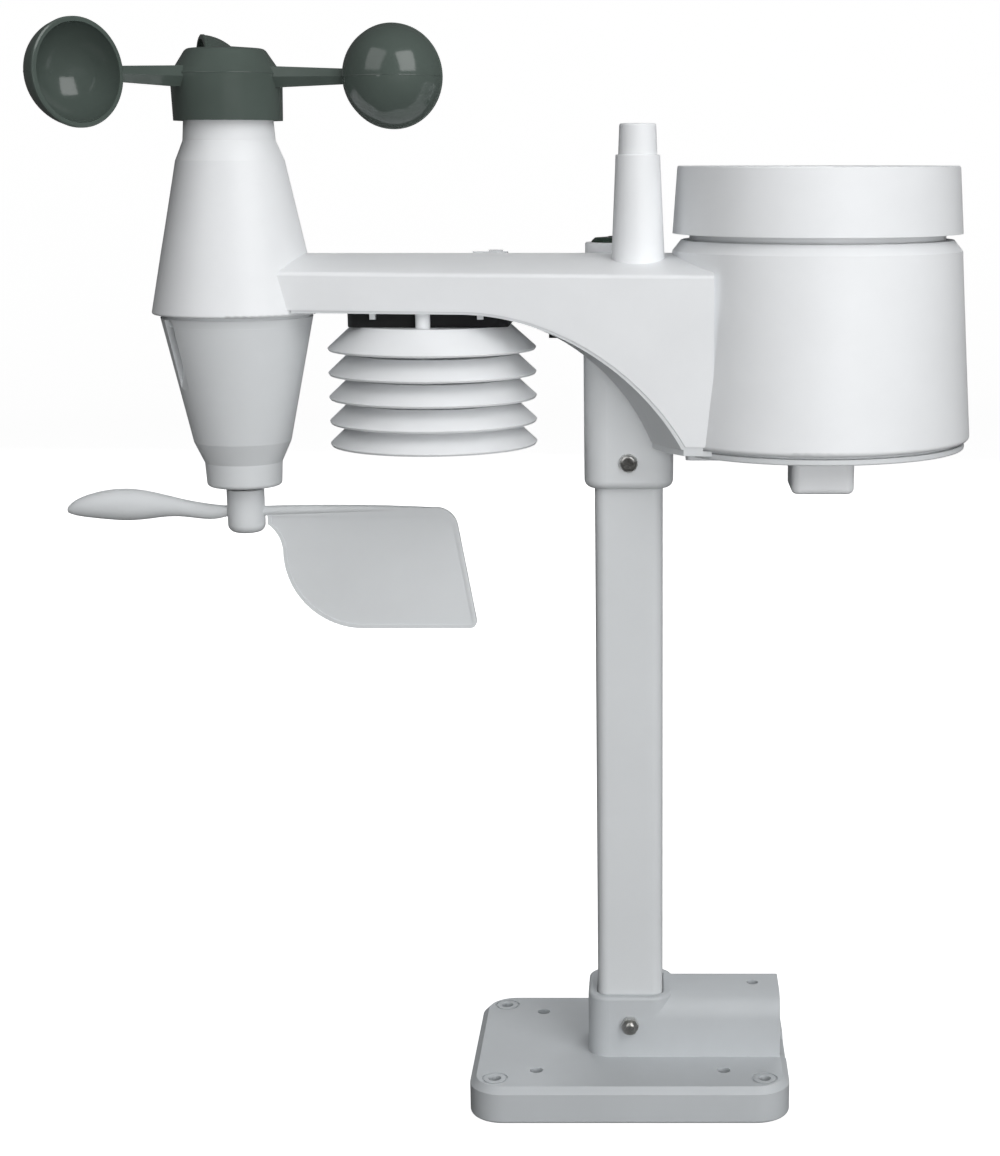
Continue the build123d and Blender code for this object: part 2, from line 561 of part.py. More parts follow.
def make_drain_outlet(side):
    """Outlet under the gauge floor: the front one is a rounded spout box."""
    y0, y1 = sorted((side * drain_y0, side * drain_y1))
    foot = drain_feet[side]
    body = block(drain_x - drain_half_x, drain_x + drain_half_x, y0, y1, foot, floor_z0, 3)
    body = fillet(body.edges().group_by(Axis.Z)[0], 2.0 if side < 0 else 0.8)
    body -= block(drain_x - 9, drain_x + 9, y0 + 2, y1 - 2, foot + 1.6, floor_z0 + 1, 1.5)
    for i in range(4):
        x = drain_x - 6.3 + 4.2 * i
        body -= block(x - 1, x + 1, y0 + 5, y1 - 5, foot - 1, foot + 3)
    return body


def make_drain_screens():
    screens = []
    for side in (-1, 1):
        middle, foot = side * (drain_y0 + drain_y1) / 2, drain_feet[side] + 1.6
        plate = block(drain_x - 8.8, drain_x + 8.8, middle - 10.3, middle + 10.3, foot, foot + 1, 1.5)
        for i in range(4):
            for j in range(4):
                x, y = drain_x - 6.3 + 4.2 * i, middle - 6.9 + 4.6 * j
                plate -= block(x - 1.4, x + 1.4, y - 1.6, y + 1.6, foot - 2, foot + 2)
        screens.append(plate)
    return Compound(children=screens)


# ---- Battery case ----
def make_battery_door():
    door = block(well_x0 + 1.8, well_x1 - 1.8, 1.8 - well_y, well_y - 1.8, well_foot_z, well_foot_z + 1.8, 1.3)
    for i in range(5):
        y = -20 + 10 * i if i != 2 else 12
        door -= block(46 + 0.5, 46 + 1.5, y - 3, y + 3, well_foot_z - 1, well_foot_z + 0.5)
    door -= rod(door_screw_x, 0, 240, 250, 1.3)
    return door


def make_door_seal():
    seal = block(27.6, 51.6, 2.6 - well_y, well_y - 2.6, well_foot_z + 1.8, well_foot_z + 2.8, 2)
    return seal - block(29.0, 50.2, 4 - well_y, well_y - 4, 240, 250, 1.5)


def make_battery_cells():
    cells = []
    for i, (x, z) in enumerate(cell_places):
        way = 1 if i % 2 else -1
        y0 = -way * cell_length / 2 + way * 1.0
        cell = rod_y(x, z, min(y0, y0 + way * 49.3), max(y0, y0 + way * 49.3), cell_r)
        tip = sorted((y0 + way * 49.3, y0 + way * cell_length))
        cells.append(cell + rod_y(x, z, tip[0], tip[1], 2.6))
    return Compound(children=cells)


def make_battery_contacts():
    """Thin plates at both ends of the case, with a coil against each cell's flat end."""
    contacts = []
    for i, (x, z) in enumerate(cell_places):
        way = 1 if i % 2 else -1
        for side in (-1, 1):
            face = side * (well_y - 1.5)
            y0, y1 = sorted((face, face - side * 0.4))
            plate = block(x - 4.6, x + 4.6, y0, y1, z - 4.4, z + 4.4)
            if side == -way:
                flat = -way * cell_length / 2 + way * 1.0
                coil_y = face - side * 0.4
                height = abs(flat - coil_y)
                for k in range(2):
                    y = coil_y + way * height * (0.28 + 0.45 * k)
                    ring = Plane((x, y, z), x_dir=(1, 0, 0), z_dir=(0, 1, 0))
                    contacts.append(ring * Torus(3.4 - 0.9 * k, 0.35))
            contacts.append(plate)
    return Compound(children=contacts)


# ---- Radiation shield ----
def plate_top_z(index):
    return shield_crown_z if index == 0 else shield_tips[index] + 7.1


def make_shield_plate(index):
    """One conical louvre; the topmost has a wide flat crown, the lowest a closed floor."""
    tip, top = shield_tips[index], plate_top_z(index)
    root = shield_root_r if index else shield_crown_r
    inner = 0.0 if index == len(shield_tips) - 1 else 16.8
    points = [(inner, top), (root, top), (shield_r, tip + 0.5), (shield_r - 0.5, tip - 0.3),
              (root - 0.6, top - 1.7), (inner, top - 1.7)]
    plate = turned(points, shield_x, rounds={2: 0.3})
    for x, y in shield_posts:
        plate -= rod(x, y, tip - 10, tip + 10, 1.3)
    if not inner:
        for angle in range(0, 360, 45):
            x, y = polar(shield_x, 0, 13, angle)
            plate -= rod(x, y, tip - 10, tip + 10, 2.2)
    return plate


def make_shield_spacers():
    spacers = []
    levels = [plate_top_z(index) for index in range(len(shield_tips))]
    for x, y in shield_posts:
        spacers.append(tube(x, y, levels[0], arm_under_z, 2.6, 1.3) & arch_void(0))
        for upper, lower in zip(levels, levels[1:]):
            spacers.append(tube(x, y, lower, upper - 1.7, 2.6, 1.3))
    return Compound(children=spacers)


def make_shield_screws():
    low = shield_tips[-1] + 5.4
    screw = pan_screw(2.3, 1.6, 1.1, shield_post_top - 0.8 - low)
    return Compound(children=[Pos(x, y, low) * Rot(180, 0, 0) * screw for x, y in shield_posts])


def make_shield_collar():
    """Black frame between the arm and the top louvre."""
    def frame_part(inset, z0, z1):
        x, y = collar_half_x - inset, collar_half_y - inset
        return block(shield_x - x, shield_x + x, -y, y, z0, z1, collar_corner - inset)
    collar = frame_part(0, shield_crown_z, arm_under_z)
    collar -= frame_part(1.8, shield_crown_z + 1.2, arm_under_z + 1)
    collar &= arch_void(-0.3)
    collar -= rod(shield_x, 0, 280, 300, 16.2)
    for x, y in shield_posts:
        collar -= rod(x, y, 280, 300, 2.9)
    return one(collar)


def make_sensor_cage():
    """Black inner tube with vent slots that holds the sensor in the middle of the shield."""
    cage = tube(shield_x, 0, 256, arm_under_z, 15.5, 13.9) + rod(shield_x, 0, 256, 257.6, 15.5)
    for z in range(262, 288, 6):
        for angle in range(0, 180, 36):
            slot = block(shield_x - 20, shield_x + 20, -2.6, 2.6, z, z + 3)
            cage -= turn(angle + 18, shield_x, 0, slot)
    return one(cage & arch_void(0))


# ---- Electronics ----
def make_main_board():
    board = block(-45.8, 8, -18, 18, 299, 300.6, 1.5)
    for x in (-41, 2):
        for y in (-15, 15):
            board -= rod(x, y, 290, 310, 1.2)
    return board


def make_board_components():
    """Chips, crystal, plugs, capacitors, lamp and the reset switch on the main board."""
    z = 300.6
    parts = [block(-34, -24, -5, 5, z, z + 1.6), block(-12, -4, -12, -4, z, z + 1.4),
             block(-20, -15, 6, 10, z, z + 3.0, 1), block(-45.5, -40, -4, 8, z, z + 4.5),
             block(-6, 6, 8, 12.2, z, z + 4.5), rod(-16, -13, z, z + 5.5, 2.5), rod(-30, 12, z, z + 5.0, 2.0),
             rod(-47.7 + 4.5, 11.5, z, z + 4.0, 1.5)]
    return Compound(children=parts + [block(-28.6, -23.2, -2.6, 2.6, 296.2, 299)])


def make_reset_button():
    button = block(-28.5, -23.3, -3, 3, 284.8, 294.4, 0.8)
    return button + block(-29.7, -22.1, -4.2, 4.2, 294.4, 295.2, 0.8)


def make_antenna_cap():
    cap = turned([(0, 336), (6.0, 336), (5.9, 348.5), (6.8, 348.5), (6.35, 358.9), (0, 358.9)],
                 antenna_x, antenna_y, {4: 0.8})
    return cap - turned([(0, 330), (4.6, 330), (4.6, 356), (0, 356)], antenna_x, antenna_y)


def make_antenna_wire():
    wire = rod(antenna_x, antenna_y, 300.6, 354, 0.5)
    for i in range(7):
        wire += Pos(antenna_x, antenna_y, 318 + 2.6 * i) * Torus(2.6, 0.5)
        wire += Pos(antenna_x, antenna_y, 318 + 2.6 * i) * rod_x(0, 0, 0, 2.6, 0.4)
    return wire


def make_level_vial():
    profile = [(0, 312.6), (9.7, 312.6), (9.7, 318.1), (8.4, 319.3), (0, 319.9)]
    return turned(profile, level_x, level_y, {2: 0.8})


def make_indicator_lens():
    """Clear block through the arm's top, with a thin flange that lies on the crown."""
    flange = (arm_solid(-0.6) - arm_solid()) & block(-55.8, -43.4, 4.4, 11.6, 308, 320)
    return flange + block(-50.1, -45.3, 5.7, 10.3, 305.6, 315.3, 0.5)


def strip(points, y, width, thickness):
    """Flat cable through (x, z) points, lying across Y."""
    up = [(x, z + thickness) for x, z in reversed(points)]
    face = Plane((0, y, 0), x_dir=(1, 0, 0), z_dir=(0, -1, 0)) * outline(list(points) + up)
    return extrude(face, width / 2, both=True)


def make_wiring():
    """Flat cables from the wind boards and the shield's sensor to the main board."""
    speed = strip([(-127, 309.2), (-118, 302.6), (-47, 302.6), (-45.7, 302.6)], 2, 4, 0.8)
    direction = strip([(-127, 288.0), (-122.5, 300.6), (-50, 300.6), (-47.8, 300.6)], -5, 4, 0.8)
    return Compound(children=[speed, direction])


def make_climate_sensor():
    board = block(shield_x - 5, shield_x + 5, -0.8, 0.8, 262, 298)
    return board + block(shield_x - 2.5, shield_x + 2.5, -2.4, -0.8, 264, 269)


# ---- Sub-parts ----
upper_magnets = ((6.0, 0.0), (-6.0, 0.0))
vane_magnets = ((0.0, 5.5),)

nodes = {
    "base_plate": make_base_plate(),
    "mast": make_mast(),
    "clamp_screws": make_clamp_screws(),
    "clamp_nuts": make_clamp_nuts(),
    "upper_housing": make_upper_housing(),
    "lower_housing": make_lower_housing(),
    "vane_housing": make_vane_housing(),
    "vane_housing_screws": make_vane_screws(),
    "rotor_hub": make_rotor_hub(),
    "rotor_shaft": rod(wind_x, 0, 318.0, 378.0, shaft_r),
    "rotor_grub_screw": rod_y(wind_x, 369.5, 1.7, 8.7, 1.25),
    "rotor_bearings": Compound(children=[flanged_bearing(neck_top_z, False), flanged_bearing(328.0, True)]),
    "speed_magnet_carrier": make_magnet_carrier(319.0, upper_magnets),
    "speed_magnets": Compound(children=make_magnets(319.0, upper_magnets)),
    "speed_board": make_sensor_board(310.0, 20.0),
    "speed_reed_switch": glass_switch(wind_x, 6.0, 313.0, True),
    "vane_shaft": rod(wind_x, 0, 219.0, 266.0, shaft_r),
    "vane_grub_screw": rod_y(wind_x, 225.5, 1.7, 6.5, 1.25),
    "vane_bearings": Compound(children=[flanged_bearing(258.0, False), flanged_bearing(vane_neck_z, True)]),
    "vane_magnet_carrier": make_magnet_carrier(260.5, vane_magnets),
    "vane_magnet": make_magnets(260.5, vane_magnets)[0],
    "direction_board": make_sensor_board(271.0, 17.0),
    "direction_sensor": block(wind_x - 2.5, wind_x + 2.5, -2.5, 2.5, 269.6, 271.0),
    "wind_vane": make_wind_vane(),
    "rain_collector": make_rain_collector(),
    "leaf_screen": make_leaf_screen(),
    "tipping_bucket": make_tipping_bucket(),
    "bucket_pin": rod_x(0, pivot_z, gauge_x - 12.9, gauge_x + 12.9, 1.0),
    "bucket_magnet": tilt_bucket(rod_x(0, 14, bucket_half_x, bucket_half_x + 1.4, 2.5)),
    "bucket_cradle": make_bucket_cradle(),
    "drain_outlets": Compound(children=[make_drain_outlet(-1), make_drain_outlet(1)]),
    "drain_screens": make_drain_screens(),
    "rain_board": block(gauge_x + 13.0, gauge_x + 14.4, -10.5, 10.5, 250.5, 286.0),
    "rain_reed_switch": glass_switch(gauge_x + 15.6, 0, 279.5, False),
    "battery_door": make_battery_door(),
    "battery_door_seal": make_door_seal(),
    "battery_door_screw": Pos(door_screw_x, 0, well_foot_z) * Rot(180, 0, 0) * pan_screw(2.2, 1.5, 1.0, 9.0),
    "battery_cells": make_battery_cells(),
    "battery_contacts": make_battery_contacts(),
    "shield_collar": make_shield_collar(),
    "sensor_cage": make_sensor_cage(),
    "shield_spacers": make_shield_spacers(),
    "shield_screws": make_shield_screws(),
    "climate_sensor": make_climate_sensor(),
    "main_board": make_main_board(),
    "board_components": make_board_components(),
    "reset_button": make_reset_button(),
    "antenna_cap": make_antenna_cap(),
    "antenna_wire": make_antenna_wire(),
    "level_vial": make_level_vial(),
    "indicator_lens": make_indicator_lens(),
    "wiring": make_wiring(),
}
for number, angle in enumerate(cup_angles, 1):
    nodes[f"wind_cup_{number}"] = make_wind_cup(angle)
for number in range(len(shield_tips)):
    nodes[f"shield_plate_{number + 1}"] = make_shield_plate(number)

for name, shape in nodes.items():
    export_step(shape, f"parts/{name}.step")
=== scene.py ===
import json
from math import cos, pi, radians, sin

import bpy
import bmesh
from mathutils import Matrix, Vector


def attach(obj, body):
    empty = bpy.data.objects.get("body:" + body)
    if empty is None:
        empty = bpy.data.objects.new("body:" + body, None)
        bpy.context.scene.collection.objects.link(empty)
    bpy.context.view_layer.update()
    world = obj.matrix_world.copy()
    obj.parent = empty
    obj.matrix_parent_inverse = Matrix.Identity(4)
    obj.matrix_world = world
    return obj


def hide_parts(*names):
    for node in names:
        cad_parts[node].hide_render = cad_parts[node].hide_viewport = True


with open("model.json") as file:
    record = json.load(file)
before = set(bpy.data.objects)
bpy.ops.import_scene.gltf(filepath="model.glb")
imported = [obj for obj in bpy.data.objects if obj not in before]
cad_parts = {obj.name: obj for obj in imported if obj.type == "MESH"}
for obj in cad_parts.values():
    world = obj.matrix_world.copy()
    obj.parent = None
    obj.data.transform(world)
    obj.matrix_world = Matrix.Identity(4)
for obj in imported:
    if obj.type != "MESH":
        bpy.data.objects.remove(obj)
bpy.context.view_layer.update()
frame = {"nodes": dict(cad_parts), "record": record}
nodes = frame["nodes"]
MM = 0.001
NODE_CORNER, PIECE_CORNER = 32, 40      # degrees; an edge sharper than this stays crisp


# ---- Camera: the photograph's viewpoint ----
CAMERA_PLACE = (0.0094, -0.760, 0.3466)
CAMERA_DROP = radians(13.6)
CAMERA_LENS, CAMERA_SENSOR = 65.4, 36
CAMERA_SHIFT = (-0.134, 0.078)
camera_data = bpy.data.cameras.new("camera")
camera = bpy.data.objects.new("camera", camera_data)
bpy.context.scene.collection.objects.link(camera)
bpy.context.scene.camera = camera
camera.location = CAMERA_PLACE
camera.rotation_euler = (pi / 2 - CAMERA_DROP, 0, 0)
camera_data.sensor_width = CAMERA_SENSOR
camera_data.lens = CAMERA_LENS
camera_data.shift_x, camera_data.shift_y = CAMERA_SHIFT
camera_data.clip_start = 0.01


# ---- Material helpers ----
def linear(r, g, b):
    """Display colour, 0 to 255, as the shader's linear colour."""
    def one(value):
        value /= 255
        return value / 12.92 if value <= 0.04045 else ((value + 0.055) / 1.055) ** 2.4
    return one(r), one(g), one(b), 1.0


def new_material(name):
    material = bpy.data.materials.new(name)
    material.use_nodes = True
    tree = material.node_tree
    tree.nodes.clear()
    output = tree.nodes.new("ShaderNodeOutputMaterial")
    shader = tree.nodes.new("ShaderNodeBsdfPrincipled")
    tree.links.new(shader.outputs["BSDF"], output.inputs["Surface"])
    return material, tree, shader


def noise(tree, scale, detail=3.0, roughness=0.5, stretch=None):
    """Noise in the object's own space; stretch scales it along X, Y and Z."""
    coordinates = tree.nodes.new("ShaderNodeTexCoord")
    texture = tree.nodes.new("ShaderNodeTexNoise")
    texture.inputs["Scale"].default_value = scale
    texture.inputs["Detail"].default_value = detail
    texture.inputs["Roughness"].default_value = roughness
    source = coordinates.outputs["Object"]
    if stretch:
        mapping = tree.nodes.new("ShaderNodeMapping")
        mapping.inputs["Scale"].default_value = stretch
        tree.links.new(source, mapping.inputs["Vector"])
        source = mapping.outputs["Vector"]
    tree.links.new(source, texture.inputs["Vector"])
    return texture.outputs["Fac"]


def ramp(tree, source, low, high, colours):
    """Noise value turned into a blend of two colours between low and high."""
    node = tree.nodes.new("ShaderNodeValToRGB")
    node.color_ramp.elements[0].position = low
    node.color_ramp.elements[1].position = high
    node.color_ramp.elements[0].color = colours[0]
    node.color_ramp.elements[1].color = colours[1]
    tree.links.new(source, node.inputs["Fac"])
    return node.outputs["Color"]


def spread(tree, source, low, high):
    """Noise value turned into the range low to high."""
    node = tree.nodes.new("ShaderNodeMapRange")
    node.inputs["From Min"].default_value = 0.3
    node.inputs["From Max"].default_value = 0.7
    node.inputs["To Min"].default_value = low
    node.inputs["To Max"].default_value = high
    tree.links.new(source, node.inputs["Value"])
    return node.outputs["Result"]


def bump(tree, shader, layers):
    """Chained bumps; each layer is (height source, strength, depth in metres)."""
    normal = None
    for source, strength, depth in layers:
        node = tree.nodes.new("ShaderNodeBump")
        node.inputs["Strength"].default_value = strength
        node.inputs["Distance"].default_value = depth
        tree.links.new(source, node.inputs["Height"])
        if normal:
            tree.links.new(normal, node.inputs["Normal"])
        normal = node.outputs["Normal"]
    tree.links.new(normal, shader.inputs["Normal"])


def shade(colour, factor):
    return tuple(min(1.0, c * factor) for c in colour[:3]) + (1.0,)


def moulded_plastic(name, colour, roughness, grain_scale=2600, grain=0.25, mottle=0.02, ior=1.5):
    """Injection-moulded plastic: spark-eroded grain, faint flow mottling, uneven sheen."""
    material, tree, shader = new_material(name)
    flow = noise(tree, 22, 4, 0.6)
    tones = (shade(colour, 1 - mottle), shade(colour, 1 + mottle))
    tree.links.new(ramp(tree, flow, 0.35, 0.65, tones), shader.inputs["Base Color"])
    sheen = noise(tree, 140, 5, 0.6)
    tree.links.new(spread(tree, sheen, roughness - 0.04, roughness + 0.05), shader.inputs["Roughness"])
    shader.inputs["IOR"].default_value = ior
    bump(tree, shader, [(noise(tree, 60, 2), 0.10, 0.00008), (noise(tree, grain_scale, 2), grain, 0.00003)])
    return material


def polished_plastic(name, colour):
    """Dark glossy moulding with a slight ripple, as thick sections cool."""
    material, tree, shader = new_material(name)
    flow = noise(tree, 35, 3)
    tones = (shade(colour, 0.93), shade(colour, 1.07))
    tree.links.new(ramp(tree, flow, 0.35, 0.65, tones), shader.inputs["Base Color"])
    haze = noise(tree, 300, 6, 0.7)
    tree.links.new(spread(tree, haze, 0.10, 0.17), shader.inputs["Roughness"])
    shader.inputs["IOR"].default_value = 1.52
    bump(tree, shader, [(noise(tree, 90, 2), 0.12, 0.00012), (noise(tree, 4000, 2), 0.05, 0.00001)])
    return material


def metal(name, colour, roughness, stretch=(1, 1, 1), scratch=0.25):
    """Plated or turned metal with fine tool marks."""
    material, tree, shader = new_material(name)
    shader.inputs["Metallic"].default_value = 1.0
    marks = noise(tree, 1500, 4, 0.6, stretch)
    tones = (shade(colour, 0.8), shade(colour, 1.1))
    tree.links.new(ramp(tree, marks, 0.3, 0.7, tones), shader.inputs["Base Color"])
    tree.links.new(spread(tree, marks, roughness - 0.06, roughness + 0.1), shader.inputs["Roughness"])
    bump(tree, shader, [(marks, scratch, 0.00002)])
    return material


def clear(name, colour, roughness, ior=1.49, transmission=1.0):
    """Glass or clear plastic with a faint uneven tint."""
    material, tree, shader = new_material(name)
    tint = noise(tree, 120, 2)
    tones = (shade(colour, 0.95), shade(colour, 1.05))
    tree.links.new(ramp(tree, tint, 0.35, 0.65, tones), shader.inputs["Base Color"])
    tree.links.new(spread(tree, noise(tree, 500, 3), roughness, roughness + 0.04), shader.inputs["Roughness"])
    shader.inputs["Transmission Weight"].default_value = transmission
    shader.inputs["IOR"].default_value = ior
    bump(tree, shader, [(noise(tree, 200, 2), 0.05, 0.00005)])
    return material


def circuit_board(name):
    """Solder mask over copper: blocks of track show as slightly raised, lighter runs."""
    material, tree, shader = new_material(name)
    coordinates = tree.nodes.new("ShaderNodeTexCoord")
    tracks = tree.nodes.new("ShaderNodeTexBrick")
    tracks.inputs["Scale"].default_value = 260
    tracks.inputs["Color1"].default_value = linear(24, 92, 52)
    tracks.inputs["Color2"].default_value = linear(30, 104, 60)
    tracks.inputs["Mortar"].default_value = linear(16, 70, 40)
    tracks.inputs["Mortar Size"].default_value = 0.03
    tree.links.new(coordinates.outputs["Object"], tracks.inputs["Vector"])
    tree.links.new(tracks.outputs["Color"], shader.inputs["Base Color"])
    tree.links.new(spread(tree, noise(tree, 400, 4), 0.25, 0.38), shader.inputs["Roughness"])
    bump(tree, shader, [(tracks.outputs["Fac"], 0.3, 0.00004)])
    return material


MATERIALS = {
    "white_plastic": moulded_plastic("white_plastic", linear(232, 234, 236), 0.42),
    "pale_plastic": moulded_plastic("pale_plastic", linear(216, 219, 221), 0.45),
    "grey_plastic": moulded_plastic("grey_plastic", linear(190, 194, 197), 0.50, 2000, 0.35, 0.025),
    "mast_plastic": moulded_plastic("mast_plastic", linear(213, 216, 218), 0.40, 3200, 0.15, 0.015),
    "dark_gloss": polished_plastic("dark_gloss", linear(80, 90, 85)),
    "black_plastic": moulded_plastic("black_plastic", linear(26, 27, 28), 0.55),
    "bucket_plastic": moulded_plastic("bucket_plastic", linear(222, 224, 226), 0.30, 3000, 0.1),
    "steel": metal("steel", linear(214, 214, 211), 0.34),
    "bronze": metal("bronze", linear(184, 148, 96), 0.42, (1, 1, 6)),
    "magnet": metal("magnet", linear(150, 150, 154), 0.22),
    "circuit_board": circuit_board("circuit_board"),
    "component": moulded_plastic("component", linear(34, 34, 37), 0.5, 3000, 0.3),
    "glass_capsule": clear("glass_capsule", linear(225, 240, 232), 0.02, 1.5),
    "level_glass": clear("level_glass", linear(96, 122, 108), 0.03, 1.47, 0.75),
    "clear_lens": clear("clear_lens", linear(240, 242, 244), 0.18, 1.49, 0.35),
    "seal_rubber": moulded_plastic("seal_rubber", linear(30, 30, 31), 0.75, 1500, 0.4),
    "cell_jacket": metal("cell_jacket", linear(84, 92, 100), 0.34, (1, 0.2, 1), 0.1),
    "copper": metal("copper", linear(200, 122, 78), 0.3),
    "cable_jacket": moulded_plastic("cable_jacket", linear(150, 152, 156), 0.5, 2400, 0.2),
}


def dress(obj, slot_name):
    obj.data.materials.clear()
    obj.data.materials.append(MATERIALS[slot_name])


def smooth_by_angle(obj, degrees):
    """Soft shading inside curved faces, crisp at corners; the vertices stay as they are."""
    with bpy.context.temp_override(object=obj, active_object=obj, selected_objects=[obj],
                                   selected_editable_objects=[obj]):
        bpy.ops.object.shade_smooth_by_angle(angle=radians(degrees))


for row in frame["record"]["subparts"]:
    dress(nodes[row["node"]], row["material_slot"])
    smooth_by_angle(nodes[row["node"]], NODE_CORNER)


# ---- Mesh helpers: each gives (points in millimetres, faces) ----
def lathe(profile, place, axis="Z", sides=48):
    """Surface of revolution through (radius, height) points; a zero radius closes the end."""
    points, faces, rings = [], [], []
    for r, h in profile:
        count = 1 if r == 0 else sides
        rings.append((len(points), count))
        for k in range(count):
            a = 2 * pi * k / sides
            u, v = r * cos(a), r * sin(a)
            offset = {"X": (h, u, v), "Y": (v, h, u), "Z": (u, v, h)}[axis]
            points.append(Vector(place) + Vector(offset))
    for (low, low_count), (high, high_count) in zip(rings, rings[1:]):
        for k in range(sides):
            n = (k + 1) % sides
            face = [low + k % low_count, low + n % low_count,
                    high + n % high_count, high + k % high_count]
            faces.append(tuple(dict.fromkeys(face)))
    return points, faces


def swept(path, radius, sides=8, closed=False):
    """Round tube along a path; radius is one number, or a list with one for each point."""
    path = [Vector(p) for p in path]
    count = len(path)
    radii = radius if isinstance(radius, list) else [radius] * count
    points, faces = [], []
    side = None
    for i, p in enumerate(path):
        before = path[i - 1] if i or closed else p
        after = path[(i + 1) % count] if i < count - 1 or closed else p
        along = (after - before).normalized()
        if side is None:
            side = along.orthogonal()
        side = (side - along * side.dot(along)).normalized()
        up = along.cross(side)
        for k in range(sides):
            a = 2 * pi * k / sides
            points.append(p + (side * cos(a) + up * sin(a)) * radii[i])
    for i in range(count if closed else count - 1):
        low, high = i * sides, (i + 1) % count * sides
        faces += [(low + k, low + (k + 1) % sides, high + (k + 1) % sides, high + k) for k in range(sides)]
    if not closed:
        faces += [tuple(reversed(range(sides))), tuple(range((count - 1) * sides, count * sides))]
    return points, faces


def ring(place, r, steps):
    """Points round a level circle."""
    x, y, z = place
    return [(x + r * cos(2 * pi * k / steps), y + r * sin(2 * pi * k / steps), z) for k in range(steps)]


def bevelled_block(x0, x1, y0, y1, z0, z1, bevel):
    """Block between its sides, with every edge rounded."""
    mesh = bmesh.new()
    bmesh.ops.create_cube(mesh, size=1)
    for vertex in mesh.verts:
        x, y, z = (c + 0.5 for c in vertex.co)
        vertex.co = (x0 + (x1 - x0) * x, y0 + (y1 - y0) * y, z0 + (z1 - z0) * z)
    bmesh.ops.bevel(mesh, geom=mesh.edges[:], offset=bevel, segments=2, affect="EDGES")
    mesh.verts.index_update()
    made = [v.co.copy() for v in mesh.verts], [tuple(v.index for v in f.verts) for f in mesh.faces]
    mesh.free()
    return made


def helix(place, axis, r0, r1, start, end, turns, steps=24):
    """Points of a coil along an axis from start to end, its radius going from r0 to r1."""
    path = []
    for i in range(int(turns * steps) + 1):
        part = i / (turns * steps)
        a, r, h = 2 * pi * turns * part, r0 + (r1 - r0) * part, start + (end - start) * part
        offset = {"X": (h, r * cos(a), r * sin(a)), "Y": (r * cos(a), h, r * sin(a)),
                  "Z": (r * cos(a), r * sin(a), h)}[axis]
        path.append(Vector(place) + Vector(offset))
    return path


def piece(name, shapes, body, slot_name, stands_for=None):
    """One visible piece from several shapes, dressed, and riding on its body."""
    mesh = bpy.data.meshes.new(name)
    points, faces = [], []
    for shape_points, shape_faces in shapes:
        faces += [tuple(len(points) + i for i in face) for face in shape_faces]
        points += [Vector(p) * MM for p in shape_points]
    mesh.from_pydata(points, [], faces)
    cleaned = bmesh.new()
    cleaned.from_mesh(mesh)
    bmesh.ops.recalc_face_normals(cleaned, faces=cleaned.faces)
    cleaned.to_mesh(mesh)
    cleaned.free()
    obj = bpy.data.objects.new(name, mesh)
    bpy.context.scene.collection.objects.link(obj)
    dress(obj, slot_name)
    smooth_by_angle(obj, PIECE_CORNER)
    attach(obj, body)
    if stands_for:
        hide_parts(stands_for)


# ---- Wind cups: parting lines of the moulds ----
WIND_X = -140.0
CUP_R, CUP_ARM_R, CUP_Z = 17.5, 60.5, 374.6
CUP_ANGLES = (-10.3, 109.7, 229.7)
HUB_SEAM_R, HUB_SEAM_Z = 19.36, 375.8
REACH_Y = 74.45                         # the rotor's furthest reach to the rear, at rest
SEAM_R = 0.14


def cup_seam(angle):
    """Fine raised line round the back of a cup, from its rim to its arm."""
    a = radians(angle)
    outward, back = Vector((cos(a), sin(a), 0)), Vector((sin(a), -cos(a), 0))
    middle = Vector((WIND_X, 0, CUP_Z)) + outward * CUP_ARM_R
    turns = [radians(7 + 155 * i / 60) for i in range(61)]
    path = [middle + (outward * cos(t) + back * sin(t)) * (CUP_R - 0.02) for t in turns]
    # The line thins out at the rotor's furthest reach, so that it adds nothing to the overall depth.
    return swept(path, [max(0.01, min(SEAM_R, REACH_Y - p.y)) for p in path], 6)


piece("cup_seams", [cup_seam(angle) for angle in CUP_ANGLES], "cup_rotor", "dark_gloss")
hub_seam = swept(ring((WIND_X, 0, HUB_SEAM_Z), HUB_SEAM_R, 120), 0.13, 6, closed=True)
piece("hub_seam", [hub_seam], "cup_rotor", "dark_gloss")


# ---- Bubble level: bubble and target circle ----
LEVEL_X, LEVEL_Y = -4.0, 18.0
TARGET_R, TARGET_Z, BUBBLE_Z = 3.4, 319.68, 318.1
BUBBLE = [(0, 0), (1.5, 0.15), (2.3, 0.55), (2.4, 0.8), (2.1, 1.05), (1.2, 1.25), (0, 1.3)]
target = swept(ring((LEVEL_X, LEVEL_Y, TARGET_Z), TARGET_R, 64), 0.16, 8, closed=True)
piece("level_target", [target], "station", "black_plastic")
piece("level_bubble", [lathe(BUBBLE, (LEVEL_X + 0.5, LEVEL_Y - 0.3, BUBBLE_Z))], "station", "glass_capsule")


# ---- Screws: thread on the open ends of the mast clamps ----
THREAD_PITCH, THREAD_R, THREAD_DEPTH = 0.7, 1.78, 0.17
CLAMP_LOW_Z, CLAMP_HIGH_Z = 27.2, 241.7
THREAD_START, THREAD_END = 18.85, 21.3  # distances from the mast's axis


def thread(z, start, end):
    """One start of thread along Y, faded in and out at its ends."""
    turns = abs(end - start) / THREAD_PITCH
    path = helix((0, 0, z), "Y", THREAD_R, THREAD_R, start, end, turns, 28)
    radii = [THREAD_DEPTH] * len(path)
    radii[:6] = [0.03 * (i + 1) for i in range(6)]
    radii[-6:] = [0.03 * (6 - i) for i in range(6)]
    return swept(path, radii, 6)


